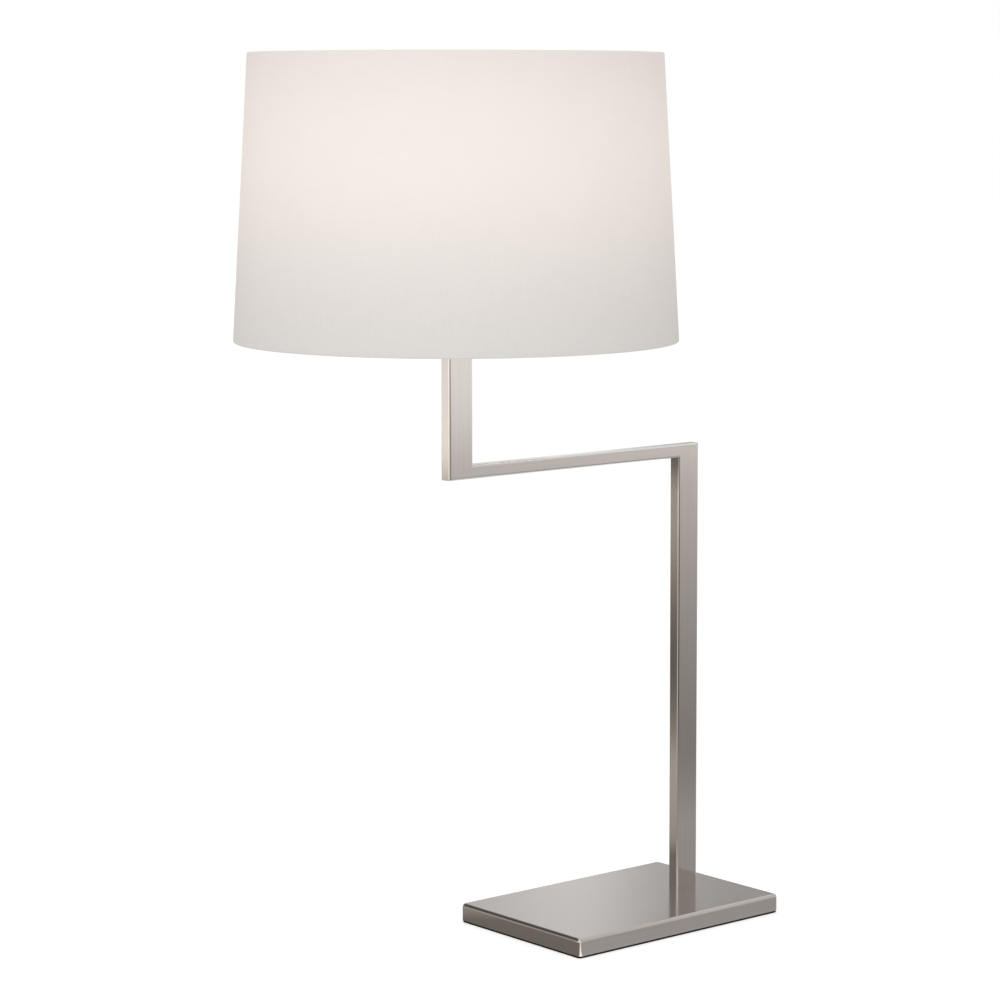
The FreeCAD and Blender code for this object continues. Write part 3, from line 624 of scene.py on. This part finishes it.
def mesh_from(name, points, faces):
    """A smooth-shaded mesh."""
    mesh = bpy.data.meshes.new(name)
    mesh.from_pydata(points, [], faces)
    mesh.validate()
    for face in mesh.polygons:
        face.use_smooth = True
    return mesh


def thickened(name, mesh, thickness):
    """The sheet given its thickness, half to each side, as a mesh of its own."""
    sheet = bpy.data.objects.new(name, mesh)
    bpy.context.scene.collection.objects.link(sheet)
    solid = sheet.modifiers.new("thickness", "SOLIDIFY")
    solid.thickness = thickness
    solid.offset = 0.0
    solid.use_even_offset = True
    bpy.context.view_layer.update()
    shape = sheet.evaluated_get(bpy.context.evaluated_depsgraph_get())
    made = bpy.data.meshes.new_from_object(shape)
    made.name = name
    bpy.data.objects.remove(sheet)
    bpy.data.meshes.remove(mesh)
    made.set_sharp_from_angle(angle=math.radians(50))
    return made


def eased(share):
    """Goes from 0 to 1 with a soft start and a soft end, and stays there."""
    share = max(0.0, min(1.0, share))
    return share * share * (3 - 2 * share)


def coat(material, *nodes):
    """Gives CAD nodes a finish through their own material slots."""
    for name in nodes:
        for place in NODES[name].material_slots:
            place.material = material


# ---------------------------------------------------------------- the linen


def run_with_bends(corners, steps, bend_steps=6):
    """Points and outward normals along straight runs that turn through small arcs.

    Each corner is (depth, height, bend radius), and steps says into how many parts each straight run is cut.
    """
    places = [Vector(corner[:2]) for corner in corners]
    radii = [corner[2] for corner in corners]
    made = []
    for i in range(len(places) - 1):
        along = (places[i + 1] - places[i]).normalized()
        outward = Vector((along.y, -along.x))
        start = places[i] + along * radii[i]
        end = places[i + 1] - along * radii[i + 1]
        for k in range(steps[i] + 1):
            made.append((start.lerp(end, k / steps[i]), outward))
        if radii[i + 1] > 0:
            centre = end - outward * radii[i + 1]
            for k in range(1, bend_steps):
                angle = math.pi / 2 * k / bend_steps
                normal = outward * math.cos(angle) + along * math.sin(angle)
                made.append((centre + normal * radii[i + 1], normal))
    return made


def column_angles(count, start, total, notch_half):
    """Angles of the mesh's columns, with finer ones at the three notches for the spider's arms."""
    angles = [start + total * k / count for k in range(count + 1)]
    centres = []
    for degrees in SPIDER_ANGLES:
        centre = math.radians(degrees)
        while centre < start:
            centre += 2 * math.pi
        centres.append(centre)
    keep = [a for a in angles if all(abs(a - c) > notch_half * 1.5 for c in centres)]
    for centre in centres:
        keep += [centre + notch_half * k / 2 for k in range(-2, 3)]
    return sorted(keep), centres


def linen_mesh(shade):
    """The linen as one strip: round the frame with a lap at the back, and turned in over both wires."""
    low, high = SHADE_LOW.z, SHADE_HIGH.z
    half = shade.cloth_thickness / 2
    depth, hem = shade.hem_depth, shade.hem_width
    path = run_with_bends(
        [
            (depth, high - hem, 0.0), (depth, high - half, 0.0018), (half, high - half, 0.0007),
            (half, low + half, 0.0007), (depth, low + half, 0.0018), (depth, low + hem, 0.0),
        ],
        [6, 3, 44, 3, 6],
    )
    radius = (FOOT_RADIUS + HEAD_RADIUS) / 2
    lap = shade.lap / radius
    total = 2 * math.pi + lap
    notch_half = NOTCH_HALF_WIDTH / HEAD_RADIUS
    angles, centres = column_angles(shade.columns, shade.seam_angle, total, notch_half)
    lap_start = shade.seam_angle + 2 * math.pi
    climb, fold = LAP_RISE / radius, FOLD_LENGTH / radius
    end = shade.seam_angle + total
    points = []
    for angle in angles:
        lift = (shade.cloth_thickness + 0.00006) * eased((angle - lap_start + climb) / climb)
        lift += 0.00035 * eased((angle - end + fold) / (0.0015 / radius))
        for (inset, z), (out, up) in path:
            wall = FOOT_RADIUS + (z - low) / (high - low) * (HEAD_RADIUS - FOOT_RADIUS)
            drift = 0.00010 * math.sin(5 * angle + 14 * z) + 0.00006 * math.sin(13 * angle - 31 * z)
            r = wall - inset - out * (lift + drift)
            points.append((RISER_X + r * math.cos(angle), r * math.sin(angle), z + up * lift))
    rows = len(path)
    faces = []
    for i in range(len(angles) - 1):
        middle = (angles[i] + angles[i + 1]) / 2
        notched = any(abs(middle - c) < notch_half for c in centres)
        for j in range(rows - 1):
            if notched and j < 6:
                continue
            a = i * rows + j
            faces.append((a, a + 1, a + rows + 1, a + rows))
    return thickened("shade_linen", mesh_from("shade_linen_strip", points, faces), shade.cloth_thickness)


# ---------------------------------------------------------------- the felt


def felt_mesh():
    """The felt sole: a cut sheet with softly rounded, slightly uneven edges."""
    half_x, half_y = (FELT_HIGH.x - FELT_LOW.x) / 2, (FELT_HIGH.y - FELT_LOW.y) / 2
    corner, top = FELT_CORNER, FELT_HIGH.z
    outline = []
    for quarter, (sx, sy) in enumerate(((1, 1), (-1, 1), (-1, -1), (1, -1))):
        centre = Vector((sx * (half_x - corner), sy * (half_y - corner)))
        for k in range(9):
            angle = math.pi / 2 * (quarter + k / 8)
            outline.append((centre, Vector((math.cos(angle), math.sin(angle)))))
    ring = []
    for i, (centre, normal) in enumerate(outline):
        ring.append((centre + normal * corner, normal))
        after, after_normal = outline[(i + 1) % len(outline)]
        start, end = centre + normal * corner, after + after_normal * corner
        parts = max(1, int((end - start).length / 0.004))
        for k in range(1, parts):
            ring.append((start.lerp(end, k / parts), normal))
    profile = [
        (0.0035, 0.0), (0.0003, 0.0), (0.00005, 0.0003), (0.0, 0.0009), (0.00005, 0.0016),
        (0.0003, top - 0.00001), (0.0035, top),
    ]
    points, count = [], len(ring)
    for inset, z in profile:
        for i, (spot, normal) in enumerate(ring):
            ragged = 0.00007 * math.sin(i * 2.4) + 0.00005 * math.sin(i * 5.1 + 1.0) - 0.0001
            at = spot - normal * (inset - ragged)
            points.append((at.x, at.y, z))
    faces = []
    for row in range(len(profile) - 1):
        for i in range(count):
            a, b = row * count + i, row * count + (i + 1) % count
            faces.append((a, b, b + count, a + count))
    faces.append(tuple(reversed(range(count))))
    faces.append(tuple(range((len(profile) - 1) * count, len(profile) * count)))
    mesh = mesh_from("felt_sole", points, faces)
    mesh.polygons[-1].use_smooth = False
    mesh.polygons[-2].use_smooth = False
    return mesh


# ---------------------------------------------------------------- stage finishes


CARD_REACH = 9.0                    # the far end of the card's tones, from the lamp
CARD_ASIDE = (-0.694, 0.720, 0.0)   # level, to the left of someone who looks at the lamp's front corner
CARD_AHEAD = (-0.720, -0.694, 0.0)  # level, from the lamp towards that person
# how bright the card is so many metres to each side: a distance, and a level
CARD_LEFT = [
    (0.0, 0.30), (0.03, 0.17), (0.09, 0.16), (0.16, 0.18), (0.22, 0.40), (0.40, 0.47), (0.61, 0.50),
    (0.83, 0.26), (1.10, 0.15), (1.41, 0.14), (1.74, 0.21), (2.14, 0.31), (2.56, 0.50), (2.92, 0.44),
    (3.20, 0.16), (3.64, 0.0), (3.72, 1.0), (3.80, 1.55), (4.30, 1.3), (4.90, 1.10), (5.60, 1.06),
    (6.50, 1.12), (7.40, 1.08), (8.90, 0.6),
]
CARD_RIGHT = [
    (0.0, 0.44), (0.19, 0.40), (0.24, 0.38), (0.41, 0.41), (0.60, 0.33), (0.81, 0.27), (1.06, 0.30),
    (1.34, 0.34), (1.67, 0.38), (2.04, 0.43), (2.47, 0.51), (2.98, 0.56), (3.55, 0.57), (3.80, 0.58),
    (4.02, 0.70), (4.28, 0.89), (4.60, 0.95), (5.40, 1.06),
]


def log_place(distance):
    """Where a distance lies on a ramp that gives near things more room than far ones."""
    return math.log(1 + 20 * distance) / math.log(1 + 20 * CARD_REACH)


def card_finish(name):
    """The card that the metal mirrors in place of the floor: tones that run from the lamp to both sides."""
    finish = Finish(name)
    place = finish.place()
    aside = finish.dot(place, CARD_ASIDE)
    ahead = finish.dot(place, CARD_AHEAD)
    away = abs(aside) + abs(ahead)
    far = finish.maths("LOGARITHM", abs(aside) * 20.0 + 1.0, 1 + 20 * CARD_REACH)
    left_tone = finish.grey_ramp(far, [(log_place(distance), level) for distance, level in CARD_LEFT])
    right_tone = finish.grey_ramp(far, [(log_place(distance), level) for distance, level in CARD_RIGHT])
    left_side = finish.band(aside, 0.020, 0.030)
    forward = finish.maths("MAXIMUM", ahead, 0.0) / (away + 0.1)
    reach = finish.maths("MINIMUM", away, 4.0)
    left_level = left_tone + finish.band(forward, 0.05, 0.4) * reach * 0.16
    facing = finish.band(forward, 0.16, 0.5) * finish.band(reach, 0.3, 1.6)
    facing = facing * finish.band(reach, 3.0, 4.4, 0.8, 0.25)
    behind = finish.band(0.0 - ahead / (away + 0.1), 0.15, 0.45) * 0.45
    right_level = right_tone * (1.0 - facing) + behind
    level = right_level * (1.0 - left_side) + left_level * left_side + corner_glint(finish, place)
    distant = finish.band(abs(aside), 3.4, 5.4)
    tint_right = finish.mix(distant, (1.0, 0.985, 0.99), (1.0, 1.025, 1.035))
    tint_left = finish.mix(distant, (1.0, 0.955, 0.87), (1.0, 1.01, 1.0))
    tint = finish.mix(left_side, tint_right, tint_left)
    sockets = {"Color": finish.scaled(tint, level), "Strength": 1.0}
    return finish.shown_by("ShaderNodeOutputMaterial", finish.node("ShaderNodeEmission", {}, sockets))


def corner_glint(finish, place):
    """A streak out from the base's front corner, which the rounded edge there mirrors as a thin line."""
    x, y, _ = finish.parts(place)
    out = (x - BASE_LOW.x) * -0.64 + (y - BASE_LOW.y) * -0.77
    across = (x - BASE_LOW.x) * 0.77 + (y - BASE_LOW.y) * -0.64
    ends = finish.band(out, 0.0, 0.004) * finish.band(out, 0.055, 0.09, 1.0, 0.0)
    return finish.band(abs(across - 0.004), 0.004, 0.012, 1.0, 0.0) * ends


def floor_finish(name):
    """A plain pale floor, bright enough to merge with the backdrop except in the lamp's contact shadow."""
    finish = Finish(name)
    speckle = finish.noise(finish.place(), 40.0, detail=2.0)
    return finish.surface(
        Base_Color=finish.mix(speckle, (0.86, 0.86, 0.86), (0.88, 0.88, 0.88)), Roughness=0.9,
        Specular_IOR_Level=0.0, Emission_Color=(1.0, 1.0, 1.0), Emission_Strength=0.52,
    )


FRONT_TURN = math.radians(42.2)     # heading, from +Y towards +X, of someone who looks at the front corner
# how bright the studio's backdrop is at a height: the upward part of a direction, and a level
BACKDROP = [
    (0.0, 1.0), (0.14, 1.0), (0.205, 0.82), (0.253, 0.70), (0.32, 0.55), (0.45, 0.24), (0.62, 0.14),
    (0.8, 0.14), (1.0, 0.3),
]


def studio_level(finish):
    """How bright the studio is each way, as the metal mirrors it: a backdrop with soft panels before it."""
    direction = finish.node("ShaderNodeTexCoord", output="Generated")
    x, y, z = finish.parts(direction)
    flat = finish.maths("SQRT", x * x + y * y + 0.0001)
    aside = (x * math.cos(FRONT_TURN) - y * math.sin(FRONT_TURN)) / flat
    rear = finish.band(y, 0.1, 0.5)
    right_dim = finish.band(aside, -0.018, 0.012, 1.05, 0.64) * finish.band(aside, 0.006, 0.036, 1.0, 0.76)
    left_dim = finish.band(aside, -0.066, -0.018, 0.72, 1.0)
    height = finish.grey_ramp(finish.maths("MAXIMUM", z, 0.0), BACKDROP)
    backdrop = height * (1.0 - rear + rear * right_dim * left_dim)
    off_left = finish.band((y * 0.73 - x * 0.68) / flat, 0.80, 0.95)
    off_right = finish.band((x * 0.68 - y * 0.73) / flat, 0.80, 0.95)
    raised_left = finish.band(z, 0.0, 0.05)
    raised_right = finish.band(z, 0.09, 0.17)
    sides = 1.0 + off_left * (0.16 - raised_left * 0.68) - off_right * raised_right * 0.58
    panel_right = finish.band(finish.dot(direction, (0.68, 0.36, 0.64)), 0.88, 0.95)
    panel_front = finish.band(finish.dot(direction, (-0.62, -0.50, 0.605)), 0.90, 0.96)
    panel_side = finish.band(finish.dot(direction, (0.68, -0.58, 0.45)), 0.88, 0.96)
    panels = panel_right * 0.55 + panel_front * 0.9 + panel_side * finish.band(z, 0.24, 0.42) * 0.50
    overhead = finish.band(z, 0.72, 0.84) * 0.30 + (1.0 - rear) * finish.band(z, 0.30, 0.50) * 0.18
    return backdrop * sides + panels + overhead


def room_light(stage):
    """White to the camera, even light on matt surfaces, and the studio in the metal."""
    world = bpy.data.worlds.new("studio")
    bpy.context.scene.world = world
    finish = Finish("studio", world)
    kind = finish.node("ShaderNodeLightPath").socket.node
    camera_ray = Value(finish, kind.outputs["Is Camera Ray"])
    glossy_ray = Value(finish, kind.outputs["Is Glossy Ray"])
    soft = stage.daylight * (1.0 - glossy_ray) + studio_level(finish) * glossy_ray
    level = soft * (1.0 - camera_ray) + camera_ray
    sockets = {"Color": finish.scaled((1.0, 1.0, 1.0), level), "Strength": 1.0}
    finish.shown_by("ShaderNodeOutputWorld", finish.node("ShaderNodeBackground", {}, sockets))


def level_sheet(name, half, height, material):
    """A square of the stage, level, at a height."""
    corners = [(x * half, y * half, height) for x, y in ((-1, -1), (1, -1), (1, 1), (-1, 1))]
    mesh = mesh_from(name, corners, [(0, 1, 2, 3)])
    mesh.materials.append(material)
    made = bpy.data.objects.new(name, mesh)
    bpy.context.scene.collection.objects.link(made)
    return made


# ---------------------------------------------------------------- operators


FLOOR_DROP = 0.0002     # the floor lies this far under the felt, so that the two faces never coincide
CARD_DROP = 0.0006
KEY_SIZE = 1.3
KEY_OFFSET = Vector((-0.78, -0.62, 0.28)) * 2.6     # from the point on the riser's axis that it is aimed at
KEY_AIM_HEIGHT = 0.6


class LAMP_OT_stage(bpy.types.Operator):
    """Sets up the pale floor, the soft light and the tones that the metal mirrors"""

    bl_idname = "lamp.stage"
    bl_label = "Stage"

    def execute(self, context):
        stage = context.scene.lamp_stage
        context.scene.view_settings.view_transform = "Standard"
        room_light(stage)
        floor = level_sheet("floor", stage.floor_radius, -FLOOR_DROP, floor_finish("pale_floor"))
        floor.visible_glossy = False
        floor.visible_diffuse = False
        card = level_sheet("mirror_card", stage.floor_radius, -CARD_DROP, card_finish("mirror_card"))
        card.visible_camera = False
        card.visible_diffuse = False
        card.visible_shadow = False
        card.visible_transmission = False
        lamp = bpy.data.lights.new("key", "AREA")
        lamp.shape = "DISK"
        lamp.size = KEY_SIZE
        lamp.energy = stage.key_power
        key = bpy.data.objects.new("key", lamp)
        context.scene.collection.objects.link(key)
        aim = Vector((RISER_X, 0.0, KEY_AIM_HEIGHT))
        key.location = aim + KEY_OFFSET
        key.rotation_euler = (aim - key.location).to_track_quat("-Z", "Y").to_euler()
        key.visible_camera = False
        key.visible_glossy = False
        return {"FINISHED"}


class LAMP_OT_camera(bpy.types.Operator):
    """Places the camera before the base's front left corner, nearly as high as the top of the shade"""

    bl_idname = "lamp.camera"
    bl_label = "Camera"

    def execute(self, context):
        stage = context.scene.lamp_stage
        camera = bpy.data.objects.new("camera", bpy.data.cameras.new("camera"))
        context.scene.collection.objects.link(camera)
        camera.location = stage.camera_place
        camera.rotation_euler = (math.pi / 2 + stage.camera_tilt, 0.0, -stage.camera_turn)
        camera.data.lens = stage.camera_lens
        camera.data.sensor_width = 36.0
        camera.data.shift_x = -0.05
        camera.data.shift_y = -0.08
        camera.data.clip_start = 0.05
        camera.data.clip_end = 60.0
        context.scene.camera = camera
        return {"FINISHED"}


class LAMP_OT_shade_linen(bpy.types.Operator):
    """Makes the shade's linen: one strip with a lapped seam, turned in over both wires"""

    bl_idname = "lamp.shade_linen"
    bl_label = "Shade linen"

    def execute(self, context):
        shade = context.scene.lamp_shade
        cloth = linen("linen")
        piece = new_piece("shade_linen", linen_mesh(shade), "shade", "linen", cloth, "shade_fabric")
        return {"FINISHED"}


class LAMP_OT_shade_frame(bpy.types.Operator):
    """Finishes the shade's lining, its two wires and its spider"""

    bl_idname = "lamp.shade_frame"
    bl_label = "Shade frame"

    def execute(self, context):
        coat(lining("white_lining"), "shade_liner")
        coat(wire_nickel("frame_wire"), "shade_top_ring", "shade_bottom_ring", "shade_spider")
        return {"FINISHED"}


class LAMP_OT_base(bpy.types.Operator):
    """Finishes the base's cover, casting and fastenings, and makes its felt sole"""

    bl_idname = "lamp.base"
    bl_label = "Base"

    def execute(self, context):
        cover = satin_nickel("satin_nickel_base", ALONG_X, roughness=0.115, depth=0.8, lacquer=0.6)
        coat(cover, "base_cover")
        coat(grey_casting("grey_casting"), "base_weight")
        coat(zinc("zinc_sheet", 0.32), "base_plate")
        coat(zinc("zinc_screws", 0.24), "plate_screws", "column_screws", "column_washers")
        coat(moulded("black_nylon", (0.022, 0.022, 0.023), 0.42), "cord_bushing")
        piece = new_piece("felt_sole", felt_mesh(), "stand", "black_felt", felt("black_felt"), "felt_pad")
        return {"FINISHED"}


class LAMP_OT_stem(bpy.types.Operator):
    """Finishes the column, the arm and the riser, with the polishing lines along each tube"""

    bl_idname = "lamp.stem"
    bl_label = "Stem"

    def execute(self, context):
        # the column's face under the arm gets painted shade
        coat(satin_nickel("satin_nickel_column", ALONG_Z, painted_corner_shade=True), "column_tube")
        coat(satin_nickel("satin_nickel_riser", ALONG_Z), "riser_tube", "riser_cap")
        # the arm's rounded edges get a painted highlight
        coat(satin_nickel("satin_nickel_arm", ALONG_X, painted_edge_highlight=1.7), "arm_tube")
        coat(brass("brass_plug"), "column_plug")
        return {"FINISHED"}


class LAMP_OT_wiring(bpy.types.Operator):
    """Finishes the lead and its connectors"""

    bl_idname = "lamp.wiring"
    bl_label = "Wiring"

    def execute(self, context):
        coat(soft_sheath("clear_gold_sheath"), "inner_lead")
        coat(moulded("grey_nylon", (0.33, 0.34, 0.36), 0.4), "wire_connectors")
        return {"FINISHED"}


class LAMP_OT_socket(bpy.types.Operator):
    """Finishes the socket and its switch"""

    bl_idname = "lamp.socket"
    bl_label = "Socket"

    def execute(self, context):
        coat(bright_nickel("bright_nickel_socket"), "socket_cap", "socket_shell", "harp_saddle")
        coat(zinc("zinc_fittings", 0.22), "socket_nipple", "lock_washer", "cap_set_screw")
        coat(fibre_board("fibre_sleeve"), "socket_insulator")
        phenolic = moulded("black_phenolic", (0.018, 0.017, 0.016), 0.24)
        coat(phenolic, "socket_body", "switch_knob")
        coat(brass("contact_brass"), "terminal_screws", "screw_shell", "centre_contact", "switch_shaft")
        return {"FINISHED"}


class LAMP_OT_harp(bpy.types.Operator):
    """Finishes the harp, its ferrules and the finial"""

    bl_idname = "lamp.harp"
    bl_label = "Harp"

    def execute(self, context):
        coat(
            bright_nickel("bright_nickel_harp"), "harp_wire", "harp_stud", "harp_ferrule_left",
            "harp_ferrule_right",
        )
        coat(satin_nickel("satin_nickel_finial", ROUND_ABOUT), "finial")
        return {"FINISHED"}


class LAMP_OT_bulb(bpy.types.Operator):
    """Finishes the bulb, lit"""

    bl_idname = "lamp.bulb"
    bl_label = "Bulb"

    def execute(self, context):
        coat(lit_glass("lit_frosted_glass"), "bulb_glass")
        coat(rolled_aluminium("rolled_aluminium"), "bulb_cap")
        coat(moulded("black_glass", (0.012, 0.012, 0.014), 0.08), "bulb_insulator")
        coat(dull_solder("solder"), "bulb_contact")
        coat(inner_glass("clear_glass"), "bulb_mount")
        return {"FINISHED"}


OPERATORS = (
    LAMP_OT_stage, LAMP_OT_camera, LAMP_OT_base, LAMP_OT_stem, LAMP_OT_wiring, LAMP_OT_socket, LAMP_OT_harp,
    LAMP_OT_bulb, LAMP_OT_shade_frame, LAMP_OT_shade_linen,
)


class LAMP_PT_panel(bpy.types.Panel):
    """Settings and pieces of the lamp"""

    bl_idname = "LAMP_PT_panel"
    bl_label = "Table Lamp"
    bl_space_type = "VIEW_3D"
    bl_region_type = "UI"
    bl_category = "Lamp"

    def draw(self, context):
        for name, _ in SETTINGS:
            box = self.layout.box()
            settings = getattr(context.scene, name)
            for field in settings.bl_rna.properties:
                if field.identifier not in {"rna_type", "name"}:
                    box.prop(settings, field.identifier)
        column = self.layout.column()
        for operator in OPERATORS:
            column.operator(operator.bl_idname)


SETTINGS = (
    ("lamp_shade", ShadeSettings),
    ("lamp_metal", MetalSettings),
    ("lamp_bulb", BulbSettings),
    ("lamp_stage", StageSettings),
)


def register():
    for name, group in SETTINGS:
        bpy.utils.register_class(group)
        setattr(bpy.types.Scene, name, PointerProperty(type=group))
    for operator in OPERATORS:
        bpy.utils.register_class(operator)
    bpy.utils.register_class(LAMP_PT_panel)


def unregister():
    bpy.utils.unregister_class(LAMP_PT_panel)
    for operator in reversed(OPERATORS):
        bpy.utils.unregister_class(operator)
    for name, group in reversed(SETTINGS):
        delattr(bpy.types.Scene, name)
        bpy.utils.unregister_class(group)


def main():
    register()
    bpy.ops.lamp.stage()
    bpy.ops.lamp.camera()
    bpy.ops.lamp.base()
    bpy.ops.lamp.stem()
    bpy.ops.lamp.wiring()
    bpy.ops.lamp.socket()
    bpy.ops.lamp.harp()
    bpy.ops.lamp.bulb()
    bpy.ops.lamp.shade_frame()
    bpy.ops.lamp.shade_linen()


if __name__ == "__main__":
    main()
